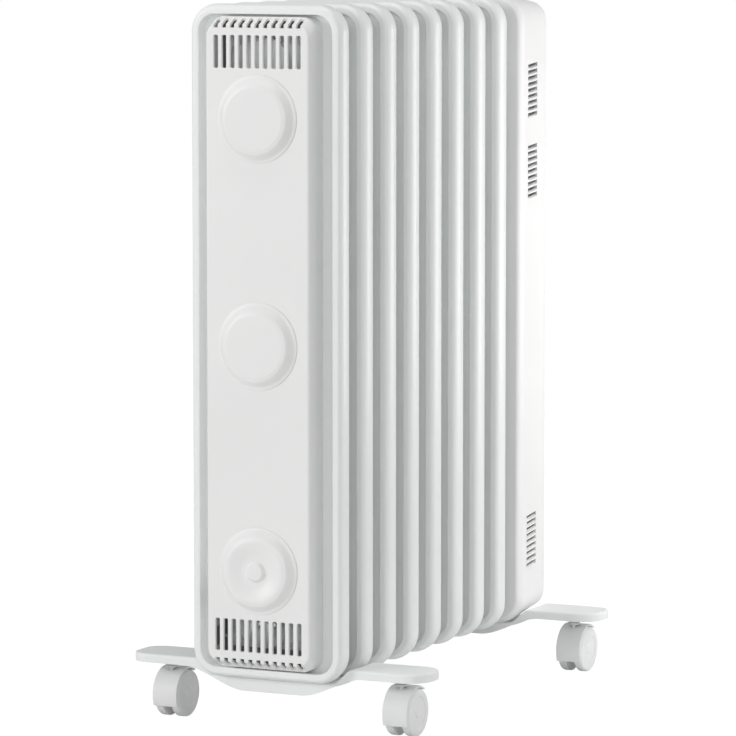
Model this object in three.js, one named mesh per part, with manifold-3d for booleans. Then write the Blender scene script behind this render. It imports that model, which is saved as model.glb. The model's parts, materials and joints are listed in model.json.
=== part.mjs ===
// An oil filled radiator heater on four swivel casters, in millimetres, +Z up, its front towards -Y.
// Depths below are measured from the front rim of the first fin, and the whole heater is shifted at the
// end so that the origin is on the floor under the middle of its outer box.
import * as THREE from "three";
import { mergeVertices } from "three/addons/utils/BufferGeometryUtils.js";
import Module from "manifold-3d";

const wasm = await Module();
wasm.setup();

// ---- Driving dimensions ----------------------------------------------------------------------------

const gap = 0.3; // clearance between two pieces that meet

const fin = {
  count: 8,
  width: 150,
  bottom: 48,
  top: 650,
  corner: 25,
  pitch: 48,
  depth: 21, // from its front rim to the back edge of its folded flange
  rim: 9, // width of the front rim
  webDepth: 12, // how far the pressed web lies behind the rim
  sheet: 0.8,
};
const gallery = { lower: 98, upper: 600, outer: 20, bore: 15, spigot: 14 };
const chamber = { width: 84, rise: 3.5 }; // how far it stands out on both sides of a fin's web
const endFin = { width: 124, bottom: 61, top: 637, corner: 10, neckBack: 440 };

const housing = {
  width: 102,
  bottom: 59,
  top: 639,
  corner: 12,
  front: -15,
  back: fin.webDepth - gap,
  wall: 2.5,
  bevelHeight: 7,
  bevelDepth: 11,
};
const vent = {
  count: 11,
  pitch: 8.15,
  width: 4.2,
  length: 29,
  fromEnd: 16,
  bevelSlotFromEnd: 9.5, // how far the slots in the sloped ends come down the front face
  bevelSlotBack: -5.5,
};

const knob = { base: 39, face: 29, height: 7.2, lift: 0.3, spacing: 200.5, middle: 349 };
const timerDish = { depth: 3, rim: 26, floorEnd: 13, hub: 9.5, hubTop: 7 };
const shaft = { radius: 3, hole: 3.3 };

const rearCover = {
  front: 384,
  back: 465,
  wall: 2.2,
  lip: 15, // width of the front edge, which follows the rim of a fin
  taper: 6.5, // how much narrower each side is at the back
  backEdge: 9, // radius of the rounded edge round the back face
};
const louvre = {
  middle: 418,
  depth: 28,
  slots: 9,
  pitch: 5.8,
  height: 3.2,
  slant: 1.2, // how much higher a slot is at the inside of the wall
  centres: [561, 483.5, 127.5],
};

const bracket = {
  halfLength: 148,
  halfDepth: 25,
  tipRadius: 20,
  sheet: 1.6,
  seat: fin.bottom - gap, // top of the middle stretch, under the fins
  arm: 61, // top of the arms
  seatSkirt: 34.5, // lowest edge of the middle stretch
  armSkirt: 53,
  centre: 38,
  uBoltBehindCentre: 7.5,
};
const uBolt = { wire: 2, spread: 22.5, foot: 31 };

const caster = { reach: 116, trail: 9.5, wheel: 21.5, hood: 24.3, width: 25, web: 8, stem: 3.6, pin: 2.4 };

const bracketCentres = { front: bracket.centre, rear: bracket.centre + fin.count * fin.pitch };

// ---- Materials -------------------------------------------------------------------------------------

function material(colour, roughness, metalness) {
  return new THREE.MeshStandardMaterial({ color: colour, roughness, metalness });
}

const paintedSteel = material(0xf0f3f1, 0.35, 0.1);
const whitePlastic = material(0xeef0ec, 0.45, 0);
const wheelPlastic = material(0xe9ebe8, 0.5, 0);
const plainSteel = material(0xb9bcbe, 0.3, 1);
const darkPlastic = material(0x2a2b2d, 0.55, 0);
const sealRubber = material(0x1d1d1f, 0.8, 0);
const brass = material(0xb59a57, 0.35, 1);

// ---- Solids ----------------------------------------------------------------------------------------

// A closed geometry as a solid that can be cut and joined.
function solid(geometry) {
  const bare = geometry.clone();
  bare.deleteAttribute("normal");
  bare.deleteAttribute("uv");
  const merged = mergeVertices(bare, 1e-4);
  const mesh = new wasm.Mesh({
    numProp: 3,
    vertProperties: merged.attributes.position.array,
    triVerts: new Uint32Array(merged.index.array),
  });
  return new wasm.Manifold(mesh);
}

function geometryOf(made) {
  const mesh = made.getMesh();
  const geometry = new THREE.BufferGeometry();
  geometry.setAttribute("position", new THREE.BufferAttribute(mesh.vertProperties, 3));
  geometry.setIndex(new THREE.BufferAttribute(mesh.triVerts, 1));
  geometry.computeVertexNormals();
  return geometry;
}

function joined(...solids) {
  return solids.reduce((whole, next) => whole.add(next));
}

function cutBy(body, ...tools) {
  return tools.reduce((rest, tool) => rest.subtract(tool), body);
}

const xAxis = new THREE.Vector3(1, 0, 0);
const yAxis = new THREE.Vector3(0, 1, 0);
const zAxis = new THREE.Vector3(0, 0, 1);

// Every arc of the shape is drawn with twice as many facets as arcDetail.
function extruded(shape, length, arcDetail) {
  return new THREE.ExtrudeGeometry(shape, { depth: length, bevelEnabled: false, curveSegments: arcDetail });
}

// A shape drawn in X and Z, extruded from one depth to another.
function alongY(shape, from, to, arcDetail = 2) {
  const turn = new THREE.Matrix4().makeBasis(xAxis, zAxis, yAxis.clone().negate());
  return solid(extruded(shape, to - from, arcDetail).applyMatrix4(turn).translate(0, to, 0));
}

// A shape drawn in Y and Z, extruded from one side to the other.
function alongX(shape, from, to, arcDetail = 2) {
  const turn = new THREE.Matrix4().makeBasis(yAxis, zAxis, xAxis);
  return solid(extruded(shape, to - from, arcDetail).applyMatrix4(turn).translate(from, 0, 0));
}

function block(x, y, z) {
  const size = [x, y, z].map(([low, high]) => high - low);
  const middle = [x, y, z].map(([low, high]) => (high + low) / 2);
  return solid(new THREE.BoxGeometry(...size).translate(...middle));
}

// A profile of [radius, height] points turned about an axis, starting and ending on it.
function turned(profile, sides) {
  const points = profile.map(([radius, height]) => new THREE.Vector2(radius, height));
  return new THREE.LatheGeometry(points, sides);
}

function turnedAboutY(profile, sides, x, z) {
  return solid(turned(profile, sides).translate(x, 0, z));
}

function turnedAboutX(profile, sides, y, z) {
  return solid(turned(profile, sides).rotateZ(-Math.PI / 2).translate(0, y, z));
}

function turnedAboutZ(profile, sides, x, y) {
  return solid(turned(profile, sides).rotateX(Math.PI / 2).translate(x, y, 0));
}

// The profile of a plain rod between two heights.
function rod(radius, from, to) {
  return [[0, from], [radius, from], [radius, to], [0, to]];
}

function roundedRectangle(width, bottom, top, radius) {
  const side = width / 2;
  const shape = new THREE.Shape();
  shape.moveTo(side - radius, bottom);
  shape.absarc(side - radius, bottom + radius, radius, -Math.PI / 2, 0);
  shape.absarc(side - radius, top - radius, radius, 0, Math.PI / 2);
  shape.absarc(radius - side, top - radius, radius, Math.PI / 2, Math.PI);
  shape.absarc(radius - side, bottom + radius, radius, Math.PI, 1.5 * Math.PI);
  return shape;
}

// A closed loop round a rectangle with rounded corners, at one depth, pulled in by inset.
function roundedLoop(outline, inset, y, cornerSteps) {
  const loop = [];
  const side = outline.width / 2 - outline.corner;
  const middle = (outline.bottom + outline.top) / 2;
  const reach = (outline.top - outline.bottom) / 2 - outline.corner;
  for (let quarter = 0; quarter < 4; quarter++) {
    const signX = quarter === 0 || quarter === 3 ? 1 : -1;
    const signZ = quarter < 2 ? 1 : -1;
    for (let step = 0; step <= cornerSteps; step++) {
      const angle = (quarter + step / cornerSteps) * (Math.PI / 2);
      const radius = outline.corner - inset;
      const x = signX * side + radius * Math.cos(angle);
      const z = middle + signZ * reach + radius * Math.sin(angle);
      loop.push(new THREE.Vector3(x, y, z));
    }
  }
  return loop;
}

// A skin stretched over loops of equal length, in order. A ring of loops closes on itself, and any other
// stack gets a flat end at each side.
function skinned(loops, isRing) {
  const around = loops[0].length;
  const positions = loops.flat().flatMap((point) => point.toArray());
  const index = [];
  const bands = isRing ? loops.length : loops.length - 1;
  for (let band = 0; band < bands; band++) {
    const next = (band + 1) % loops.length;
    for (let step = 0; step < around; step++) {
      const other = (step + 1) % around;
      const [here, there] = [band * around, next * around];
      index.push(here + step, here + other, there + other, here + step, there + other, there + step);
    }
  }
  if (!isRing) {
    const last = (loops.length - 1) * around;
    for (let step = 1; step < around - 1; step++) {
      index.push(0, step + 1, step);
      index.push(last, last + step, last + step + 1);
    }
  }
  const geometry = new THREE.BufferGeometry();
  geometry.setAttribute("position", new THREE.Float32BufferAttribute(positions, 3));
  geometry.setIndex(index);
  return solid(geometry);
}

// Half of a wire ring about Y, its upper half.
function upperHalfRing(radius, wire, y, z) {
  const ring = solid(new THREE.TorusGeometry(radius, wire, 8, 16).rotateX(Math.PI / 2).translate(0, y, z));
  const reach = radius + 2 * wire;
  return ring.intersect(block([-reach, reach], [y - reach, y + reach], [z, z + reach]));
}

function smooth(value, from, to) {
  return THREE.MathUtils.smoothstep(value, from, to);
}

// ---- The heater's tree -----------------------------------------------------------------------------

const heater = new THREE.Group();

function piece(name, made, finish, parent = heater) {
  const mesh = new THREE.Mesh(geometryOf(made), finish);
  mesh.name = name;
  parent.add(mesh);
  return mesh;
}

// ---- Oil fins --------------------------------------------------------------------------------------

// The section of a fin's sheet, as [inset from the outline, depth] points: from the web's front face up
// the inner wall, over the rim, back along the flange, then home along the inside to the web's back face.
const webBack = fin.webDepth + fin.sheet;
const finSection = [
  [fin.rim, fin.webDepth], [fin.rim, 0.6], [8, 0], [4.6, 0], [1.3, 2.4], [0, 8], [0.7, 15], [2.6, fin.depth],
  [3.4, fin.depth], [1.5, 15], [0.8, 8.2], [2, 3], [4.9, 0.8], [8.2, 0.8], [8.2, webBack],
];

function foldedSheet() {
  const loops = finSection.map(([inset, depth]) => roundedLoop(fin, inset, depth, 3));
  return skinned(loops.reverse(), false);
}

// The raised oil chamber in the middle of a fin, solid or as the room for oil inside it. Depths are
// measured from the front face of the fin's web.
function oilChamber(wall) {
  const bottom = gallery.lower - gallery.outer + wall;
  const top = gallery.upper + gallery.outer - wall;
  const front = wall - chamber.rise;
  const back = chamber.rise + fin.sheet - wall;
  return alongY(roundedRectangle(chamber.width - 2 * wall, bottom, top, 20 - wall), front, back);
}

// The two necks that join a fin to its neighbours.
function galleryNecks(front, back) {
  const necks = [gallery.lower, gallery.upper].map((height) =>
    turnedAboutY(rod(gallery.outer, front, back), 12, 0, height),
  );
  return joined(...necks);
}

function galleryBore(height, from, to) {
  return turnedAboutY(rod(gallery.bore, from, to), 12, 0, height);
}

function flangedFin(number) {
  const neckLength = fin.pitch / 2 - gap / 2;
  const frontNeck = number === 1 ? -7 : -neckLength;
  const body = joined(oilChamber(0), galleryNecks(frontNeck, neckLength)).translate([0, fin.webDepth, 0]);
  const oilRoom = oilChamber(fin.sheet).translate([0, fin.webDepth, 0]);
  const lowerBore = galleryBore(gallery.lower, -fin.pitch, 2 * fin.pitch);
  const upperStart = number === 1 ? webBack : -fin.pitch;
  const upperBore = galleryBore(gallery.upper, upperStart, 2 * fin.pitch);
  return cutBy(joined(foldedSheet(), body), oilRoom, lowerBore, upperBore);
}

for (let number = 1; number <= fin.count; number++) {
  const mesh = piece(`fin_${number}`, flangedFin(number), paintedSteel);
  mesh.position.y = (number - 1) * fin.pitch;
}

// The last element has no folded flange, because the rear cover goes round it.
const endWeb = fin.count * fin.pitch + fin.webDepth;
const screwPost = { height: 200, outer: 6, recess: 4.6, floor: endWeb + 8 };
{
  const neckLength = fin.pitch / 2 - gap / 2;
  const web = alongY(roundedRectangle(endFin.width, endFin.bottom, endFin.top, endFin.corner), 0, fin.sheet);
  const plate = joined(web, oilChamber(0), galleryNecks(-neckLength, endFin.neckBack - endWeb));
  const lowerBore = galleryBore(gallery.lower, -fin.pitch, fin.pitch);
  const upperBore = galleryBore(gallery.upper, -fin.pitch, endFin.neckBack - endWeb - 2);
  const screwHole = turnedAboutY(rod(1.9, -6, 6), 10, 0, screwPost.height);
  const made = cutBy(plate, oilChamber(fin.sheet), lowerBore, upperBore).translate([0, endWeb, 0]);
  piece("end_fin", made.subtract(screwHole.translate([0, endWeb, 0])), paintedSteel);
}

// ---- Heating element and oil seals -----------------------------------------------------------------

const neckMouth = fin.webDepth - 7;

function heatingElement() {
  const tube = 4.2;
  const legs = 7.5;
  const terminals = neckMouth - 17;
  const bend = endWeb - 10;
  const straight = [-legs, legs].map((x) => turnedAboutY(rod(tube, terminals, bend), 8, x, gallery.lower));
  const turn = solid(new THREE.TorusGeometry(legs, tube, 8, 12).translate(0, bend, gallery.lower));
  const beyondBend = block([-20, 20], [bend - 0.1, bend + 20], [gallery.lower - 9, gallery.lower + 9]);
  const halfTurn = turn.intersect(beyondBend);
  const plugFront = neckMouth - 9;
  const flange = [
    [0, plugFront], [12, plugFront], [12, neckMouth - 5], [21, neckMouth - 5], [21, neckMouth - 1.6],
    [gallery.spigot, neckMouth - 1.6], [gallery.spigot, neckMouth + 6], [0, neckMouth + 6],
  ];
  return joined(...straight, halfTurn, turnedAboutY(flange, 14, 0, gallery.lower));
}

piece("heating_element", heatingElement(), plainSteel);

const gasketProfile = [
  [14.8, neckMouth - 1.3], [20, neckMouth - 1.3], [20, neckMouth - gap], [14.8, neckMouth - gap],
  [14.8, neckMouth - 1.3],
];
piece("element_gasket", turnedAboutY(gasketProfile, 14, 0, gallery.lower), sealRubber);

const plugProfile = [
  [0, endFin.neckBack - 10], [gallery.spigot, endFin.neckBack - 10], [gallery.spigot, endFin.neckBack + gap],
  [18.5, endFin.neckBack + gap], [18.5, endFin.neckBack + 3], [8, endFin.neckBack + 3],
  [8, endFin.neckBack + 7], [0, endFin.neckBack + 7],
];
piece("oil_filler_plug", turnedAboutY(plugProfile, 14, 0, gallery.lower), brass);

// ---- Control housing -------------------------------------------------------------------------------

// A side view of the housing with its sloped top and bottom, pulled in by wall.
function housingSideView(wall, back) {
  const bottom = housing.bottom + wall;
  const top = housing.top - wall;
  const front = housing.front + wall;
  const bevelBack = housing.front + housing.bevelDepth;
  const shape = new THREE.Shape();
  shape.moveTo(back, bottom);
  shape.lineTo(back, top);
  shape.lineTo(bevelBack, top);
  shape.lineTo(front, top - housing.bevelHeight);
  shape.lineTo(front, bottom + housing.bevelHeight);
  shape.lineTo(bevelBack, bottom);
  return shape;
}

function housingBody(wall, back) {
  const side = housing.width / 2 - wall;
  const outline = roundedRectangle(
    2 * side,
    housing.bottom + wall,
    housing.top - wall,
    housing.corner - wall,
  );
  return alongX(housingSideView(wall, back), -side, side).intersect(alongY(outline, housing.front - 1, back));
}

const knobHeights = {
  thermostat: knob.middle + knob.spacing,
  power: knob.middle,
  timer: knob.middle - knob.spacing,
};
const bushing = { y: -2, z: 118, hole: 5 };
const sideScrew = { y: 2, z: 86, shank: 1.6 };

function ventSlots() {
  const slots = [];
  const inside = housing.front + housing.wall + 1;
  for (let number = 0; number < vent.count; number++) {
    const x = (number - (vent.count - 1) / 2) * vent.pitch;
    const across = [x - vent.width / 2, x + vent.width / 2];
    const top = housing.top - vent.fromEnd;
    const bottom = housing.bottom + vent.fromEnd;
    slots.push(block(across, [housing.front - 1, inside], [top - vent.length, top]));
    slots.push(block(across, [housing.front - 1, inside], [bottom, bottom + vent.length]));
    const along = [housing.front - 1, vent.bevelSlotBack];
    slots.push(block(across, along, [housing.top - vent.bevelSlotFromEnd, housing.top + 1]));
    slots.push(block(across, along, [housing.bottom - 1, housing.bottom + vent.bevelSlotFromEnd]));
  }
  return slots;
}

function controlHousing() {
  const shell = cutBy(housingBody(0, housing.back), housingBody(housing.wall, housing.back + 5));
  const shaftHoles = Object.values(knobHeights).map((height) =>
    turnedAboutY(rod(shaft.radius + 1, housing.front - 1, 0), 12, 0, height),
  );
  const cordHole = turnedAboutX(rod(bushing.hole, -housing.width, 0), 14, bushing.y, bushing.z);
  const screwHole = turnedAboutX(rod(2, -housing.width, 0), 10, sideScrew.y, sideScrew.z);
  return cutBy(shell, ...ventSlots(), ...shaftHoles, cordHole, screwHole);
}

piece("control_housing", controlHousing(), whitePlastic);

// A steel plate closing the housing's back, with an ear that the housing is screwed to.
const shield = { front: fin.webDepth - 4.6, sheet: 0.8, bars: [230, 430] };

function heatShield() {
  const back = shield.front + shield.sheet;
  const outline = roundedRectangle(95, housing.bottom + 4, housing.top - 4, 8);
  const window = block([-43, 43], [shield.front - 1, back + 1], [gallery.lower - 22, gallery.upper + 22]);
  const plate = alongY(outline, shield.front, back).subtract(window);
  const bars = shield.bars.map((z) => block([-44, 44], [shield.front, back], [z - 12, z + 12]));
  const ear = block([-47, -45.8], [-5, back], [sideScrew.z - 8, sideScrew.z + 8]);
  const earHole = turnedAboutX(rod(sideScrew.shank + gap, -60, -40), 10, sideScrew.y, sideScrew.z);
  return cutBy(joined(plate, ...bars, ear), earHole);
}

piece("heat_shield", heatShield(), plainSteel);

const leftWall = -housing.width / 2;
const sideScrewProfile = [
  [0, leftWall - 2.4], [2.4, leftWall - 2.4], [3.6, leftWall - gap], [sideScrew.shank, leftWall - gap],
  [sideScrew.shank, leftWall + 11], [0, leftWall + 12.5],
];
piece("housing_screw", turnedAboutX(sideScrewProfile, 10, sideScrew.y, sideScrew.z), plainSteel);

const bushingProfile = [
  [3.6, leftWall - 2.6], [6.6, leftWall - 2.6], [7.2, leftWall - gap], [bushing.hole - gap, leftWall - gap],
  [bushing.hole - gap, leftWall + 5], [3.6, leftWall + 5], [3.6, leftWall - 2.6],
];
piece("cord_bushing", turnedAboutX(bushingProfile, 14, bushing.y, bushing.z), darkPlastic);

// ---- Controls --------------------------------------------------------------------------------------

const panelBack = housing.front + housing.wall;
const knobBack = housing.front - knob.lift;
const knobFront = knobBack - knob.height;

// The side of a knob falls in an S curve from the edge of its face to its base.
const knobSide = [0.15, 0.35, 0.5, 0.65, 0.85].map((part) => {
  const fall = part ** 3 * (part * (6 * part - 15) + 10);
  return [knob.face + part * (knob.base - 0.5 - knob.face), knobFront + 0.4 + fall * (knob.height - 0.9)];
});

// A low round knob with a socket for its shaft at the back.
function roundKnob(height) {
  const profile = [
    [0, knobFront], [knob.face - 1, knobFront], [knob.face, knobFront + 0.4], ...knobSide,
    [knob.base - 0.5, knobBack - 0.5], [knob.base, knobBack], [0, knobBack],
  ];
  const socket = turnedAboutY(rod(shaft.hole, knobBack - 5, knobBack + 1), 12, 0, height);
  return turnedAboutY(profile, 28, 0, height).subtract(socket);
}

// The timer knob has a dished face with a raised hub in the middle.
function timerKnob(height) {
  const floor = knobFront + timerDish.depth;
  const dish = [
    [timerDish.hubTop, knobFront - 1], [timerDish.rim, knobFront - 1], [timerDish.rim, knobFront],
    [timerDish.floorEnd, floor], [timerDish.hub, floor], [timerDish.hubTop, knobFront],
    [timerDish.hubTop, knobFront - 1],
  ];
  return cutBy(roundKnob(height), turnedAboutY(dish, 28, 0, height));
}

function controlShaft(height) {
  return turnedAboutY(rod(shaft.radius, knobBack - 4.7, panelBack + 7), 12, 0, height);
}

function controlBody(width, tall, depth, height) {
  const front = panelBack + gap;
  const box = block([-width / 2, width / 2], [front, front + depth], [height - tall / 2, height + tall / 2]);
  return box.subtract(turnedAboutY(rod(shaft.hole, front - 1, front + 7.5), 12, 0, height));
}

function timerBody(height) {
  const front = panelBack + gap;
  const drum = turnedAboutY(rod(22, front, front + 16), 24, 0, height);
  return drum.subtract(turnedAboutY(rod(shaft.hole, front - 1, front + 7.5), 12, 0, height));
}

piece("thermostat_knob", roundKnob(knobHeights.thermostat), whitePlastic);
piece("power_knob", roundKnob(knobHeights.power), whitePlastic);
piece("timer_knob", timerKnob(knobHeights.timer), whitePlastic);
for (const [control, height] of Object.entries(knobHeights)) {
  piece(`${control}_shaft`, controlShaft(height), plainSteel);
}
piece("thermostat_body", controlBody(34, 38, 15, knobHeights.thermostat), plainSteel);
piece("power_switch_body", controlBody(30, 36, 16, knobHeights.power), darkPlastic);
piece("timer_body", timerBody(knobHeights.timer), darkPlastic);

// ---- Wiring and safety devices ---------------------------------------------------------------------

function terminalBlock() {
  const body = block([-24, 24], [panelBack + gap, panelBack + 14], [188, 204]);
  const screws = [-18, -6, 6, 18].map((x) =>
    turnedAboutY(rod(2.6, panelBack + 11, panelBack + 20), 10, x, 196),
  );
  return cutBy(body, ...screws);
}

piece("terminal_block", terminalBlock(), darkPlastic);

const cutOut = { height: 430, back: shield.front - gap };
const cutOutProfile = [
  [0, cutOut.back - 7.5], [8, cutOut.back - 7.5], [8, cutOut.back - 2], [10, cutOut.back - 2],
  [10, cutOut.back], [0, cutOut.back],
];
piece("thermal_cutout", turnedAboutY(cutOutProfile, 14, 0, cutOut.height), darkPlastic);

// The switch that cuts the power when the heater falls over: a weight hangs from a pin in its body.
const tipSwitch = { y: -3, pivot: 276, pin: 1.2, swing: 24, weight: 8, slot: 13 };

function tipSwitchBody() {
  const height = [tipSwitch.pivot - 5, tipSwitch.pivot + 14];
  const across = [-tipSwitch.slot, tipSwitch.slot];
  const body = block([-tipSwitch.slot - 3, tipSwitch.slot + 3], [tipSwitch.y - 8, tipSwitch.y + 8], height);
  const slot = block(across, [tipSwitch.y - 1.6, tipSwitch.y + 1.6], [height[0] - 1, tipSwitch.pivot + 6]);
  const pin = turnedAboutY(rod(tipSwitch.pin, tipSwitch.y - 4, tipSwitch.y + 4), 10, 0, tipSwitch.pivot);
  return joined(cutBy(body, slot), pin);
}

function tipSwitchWeight() {
  const hanger = roundedRectangle(7, tipSwitch.pivot - tipSwitch.swing, tipSwitch.pivot + 3.5, 3.4);
  const arm = alongY(hanger, tipSwitch.y - 1, tipSwitch.y + 1);
  const weight = turnedAboutY(
    rod(tipSwitch.weight, tipSwitch.y - 4, tipSwitch.y + 4), 20, 0, tipSwitch.pivot - tipSwitch.swing,
  );
  const eye = turnedAboutY(rod(tipSwitch.pin + gap, tipSwitch.y - 6, tipSwitch.y + 6), 10, 0, tipSwitch.pivot);
  return cutBy(joined(arm, weight), eye);
}

piece("tip_switch_body", tipSwitchBody(), darkPlastic);
piece("tip_switch_weight", tipSwitchWeight(), brass);

// The bundle of leads from the terminal block up to the thermostat, along the housing's right side.
function wiringLoom() {
  const route = [
    [28, -4, 196], [34, -2, 215], [34, 0, 260], [33, 0, 330], [33, 0, 430], [32, 0, 510], [25, -2, 535],
  ];
  const curve = new THREE.CatmullRomCurve3(route.map((point) => new THREE.Vector3(...point)));
  const section = new THREE.Shape();
  section.absarc(0, 0, 3, 0, 2 * Math.PI);
  const options = { steps: 22, extrudePath: curve, curveSegments: 4, bevelEnabled: false };
  return solid(new THREE.ExtrudeGeometry(section, options));
}

piece("wiring_loom", wiringLoom(), sealRubber);

// ---- Rear cover ------------------------------------------------------------------------------------

// The rear cover's outside or inside, as loops that get narrower towards the rounded back edge.
function rearCoverBody(wall) {
  const front = rearCover.front + wall;
  const back = rearCover.back - wall;
  const steps = 3;
  const easedFront = [[4.6, 0], [1.3, 3.2], [0, 11]];
  const loops = easedFront.map(([inset, depth]) => roundedLoop(fin, inset + wall, front + depth, steps));
  for (let step = 0; step <= steps; step++) {
    const angle = (step / steps) * (Math.PI / 2);
    const inset = rearCover.taper + wall + rearCover.backEdge * (1 - Math.cos(angle));
    loops.push(roundedLoop(fin, inset, back - rearCover.backEdge * (1 - Math.sin(angle)), steps));
  }
  return skinned(loops.reverse(), false);
}

// Louvre slots through both side walls, their floors rising inwards to keep water and fingers out.
function louvreSlots() {
  const depth = [louvre.middle - louvre.depth / 2, louvre.middle + louvre.depth / 2];
  const outside = fin.width / 2 + 1;
  const inside = fin.width / 2 - rearCover.taper - rearCover.wall - 1;
  const rise = (louvre.slant * (outside - inside)) / rearCover.wall;
  const slots = [];
  for (const centre of louvre.centres) {
    for (let number = 0; number < louvre.slots; number++) {
      const z = centre + (number - (louvre.slots - 1) / 2) * louvre.pitch - rise / 2;
      for (const sign of [-1, 1]) {
        const slot = new THREE.Shape();
        slot.moveTo(sign * outside, z - louvre.height / 2);
        slot.lineTo(sign * inside, z - louvre.height / 2 + rise);
        slot.lineTo(sign * inside, z + louvre.height / 2 + rise);
        slot.lineTo(sign * outside, z + louvre.height / 2);
        slots.push(alongY(slot, ...depth));
      }
    }
  }
  return slots;
}

// The rear cover has a recessed screw post inside, and two feet below that sit on the rear bracket.
function rearCoverShell() {
  const mouth = roundedRectangle(
    fin.width - 2 * rearCover.lip,
    fin.bottom + rearCover.lip,
    fin.top - rearCover.lip,
    fin.corner - rearCover.lip,
  );
  const opening = alongY(mouth, rearCover.front - 1, rearCover.front + rearCover.wall + 1);
  const shell = cutBy(rearCoverBody(0), rearCoverBody(rearCover.wall), opening, ...louvreSlots());
  const post = turnedAboutY(
    rod(screwPost.outer, screwPost.floor - 2, rearCover.back - 0.5), 16, 0, screwPost.height,
  );
  const recess = turnedAboutY(
    rod(screwPost.recess, screwPost.floor, rearCover.back + 1), 16, 0, screwPost.height,
  );
  const screwHole = turnedAboutY(rod(2, screwPost.floor - 5, screwPost.floor + 1), 10, 0, screwPost.height);
  const boltY = bracketCentres.rear + bracket.uBoltBehindCentre;
  const boltSlot = block([-30, 30], [boltY - 8, boltY + 8], [fin.bottom - 1, fin.bottom + 14]);
  const feet = [-45, 45].map((x) =>
    block([x - 6, x + 6], [boltY - 18, boltY + 12], [bracket.seat + gap, fin.bottom + rearCover.taper + 1]),
  );
  return cutBy(joined(shell, post, ...feet), recess, screwHole, boltSlot);
}

piece("rear_cover", rearCoverShell(), whitePlastic);

const coverScrewProfile = [
  [0, endWeb - 5], [1.6, endWeb - 4], [1.6, screwPost.floor + gap], [4, screwPost.floor + gap],
  [3.4, screwPost.floor + 2.8], [0, screwPost.floor + 2.8],
];
piece("rear_cover_screw", turnedAboutY(coverScrewProfile, 10, 0, screwPost.height), plainSteel);

// ---- Foot brackets ---------------------------------------------------------------------------------

function bracketTop(x) {
  return THREE.MathUtils.lerp(bracket.seat, bracket.arm, smooth(Math.abs(x), 58, 79));
}

function bracketSkirt(x) {
  return THREE.MathUtils.lerp(bracket.seatSkirt, bracket.armSkirt, smooth(Math.abs(x), 28, 90));
}

function bracketHalfDepth(x) {
  const past = Math.max(0, Math.abs(x) - (bracket.halfLength - bracket.tipRadius));
  return bracket.halfDepth - bracket.tipRadius + Math.sqrt(bracket.tipRadius ** 2 - past ** 2);
}

// Where the bracket's outline bends, from its middle to the tip of its right arm.
function bracketStations(tip) {
  const bends = [0, 28, 44, 58, 65, 72, 79, 90, 104, 116, 128];
  for (let step = 1; step <= 3; step++) {
    const angle = (step / 3) * (Math.PI / 2);
    bends.push(bracket.halfLength - bracket.tipRadius + bracket.tipRadius * Math.sin(angle) * 0.999);
  }
  const right = bends.filter((x) => x < tip - 0.5).concat([tip]);
  const left = right.slice(1).reverse().map((x) => -x);
  return left.concat(right);
}

function bracketBody(wall, below) {
  const tip = (bracket.halfLength - wall) * 0.9999;
  const loops = bracketStations(tip).map((x) => {
    const side = bracketHalfDepth(x) - wall;
    const low = bracketSkirt(x) - below;
    const high = bracketTop(x) - wall;
    return [[-side, low], [side, low], [side, high], [-side, high]].map(([y, z]) => new THREE.Vector3(x, y, z));
  });
  return skinned(loops, false);
}

function footBracket() {
  const legHoles = [-uBolt.spread, uBolt.spread].map((x) =>
    turnedAboutZ(rod(uBolt.wire + 0.5, 20, 80), 12, x, bracket.uBoltBehindCentre),
  );
  return cutBy(bracketBody(0, 0), bracketBody(bracket.sheet, 20), ...legHoles);
}

// A wire bow over the lower gallery, with both ends down through the bracket.
function wireBow() {
  const legs = [-uBolt.spread, uBolt.spread].map((x) =>
    turnedAboutZ(rod(uBolt.wire, uBolt.foot, gallery.lower + 0.1), 8, x, 0),
  );
  return joined(upperHalfRing(uBolt.spread, uBolt.wire, 0, gallery.lower), ...legs);
}

function wingNut() {
  const top = bracket.seat - bracket.sheet - gap;
  const hub = turnedAboutZ(rod(5, top - 7, top), 12, 0, 0);
  const wings = block([-1.2, 1.2], [-11, 11], [top - 10, top - 3]);
  return joined(hub, wings).subtract(turnedAboutZ(rod(uBolt.wire + gap, top - 12, top + 1), 12, 0, 0));
}

for (const [end, centre] of Object.entries(bracketCentres)) {
  const foot = new THREE.Group();
  foot.position.y = centre;
  heater.add(foot);
  piece(`${end}_bracket`, footBracket(), paintedSteel, foot);
  const bow = piece(`${end}_u_bolt`, wireBow(), plainSteel, foot);
  bow.position.y = bracket.uBoltBehindCentre;
  for (const [side, sign] of [["left", -1], ["right", 1]]) {
    const nut = piece(`${end}_${side}_wing_nut`, wingNut(), plainSteel, foot);
    nut.position.set(sign * uBolt.spread, bracket.uBoltBehindCentre, 0);
  }
}

// ---- Casters ---------------------------------------------------------------------------------------

const axle = { radius: 2, height: caster.wheel, length: 21 };
const pinFoot = 28; // how low the swivel pin reaches

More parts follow.
